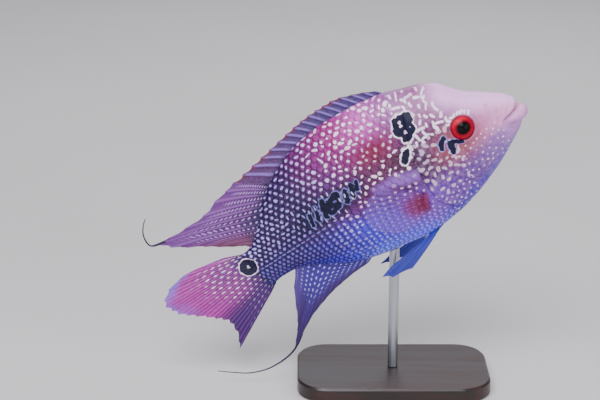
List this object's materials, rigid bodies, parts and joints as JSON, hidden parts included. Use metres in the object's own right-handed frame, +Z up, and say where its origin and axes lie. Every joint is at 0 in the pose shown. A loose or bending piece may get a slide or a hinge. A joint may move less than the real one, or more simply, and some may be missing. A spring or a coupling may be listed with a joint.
{
  "type": "flowerhorn cichlid",
  "caption": "Life-size still model of a flowerhorn cichlid swimming head-up, with spread fins and long fin threads, on a flat display base with one rod.",
  "frame": {"origin": "the middle of the underside of the display base", "axes": "+X the way the fish faces, head up by 32 degrees; +Z up; -Y towards the fish's right flank, which the picture shows"},
  "size_m": [0.1954, 0.06, 0.1607],
  "materials": {
    "head_skin": "pale lilac and mauve wet skin with white spots",
    "body_skin": "magenta to violet and blue glossy scales with pearl spots",
    "fin_violet": "violet membrane with pale rays, slightly translucent",
    "fin_blue": "deep blue membrane with pale dots",
    "fin_magenta": "magenta membrane with white dashes and a lavender rim",
    "fin_lilac": "clear lilac membrane with fine rays",
    "eye": "wet red iris with a black pupil",
    "stand_base": "dark satin wood",
    "stand_rod": "satin steel"
  },
  "bodies": {
    "root": {"head": "head_skin", "trunk": "body_skin", "tail": "body_skin", "dorsal_fin_spiny": "fin_violet", "dorsal_fin_soft": "fin_violet", "dorsal_fin_thread": "fin_violet", "anal_fin": "fin_blue", "anal_fin_thread": "fin_blue", "caudal_fin": "fin_magenta", "pectoral_fin_left": "fin_lilac", "pectoral_fin_right": "fin_lilac", "pelvic_fin_left": "fin_blue", "pelvic_fin_right": "fin_blue", "eye_left": "eye", "eye_right": "eye", "stand_base": "stand_base", "stand_rod": "stand_rod"}
  },
  "joints": []
}
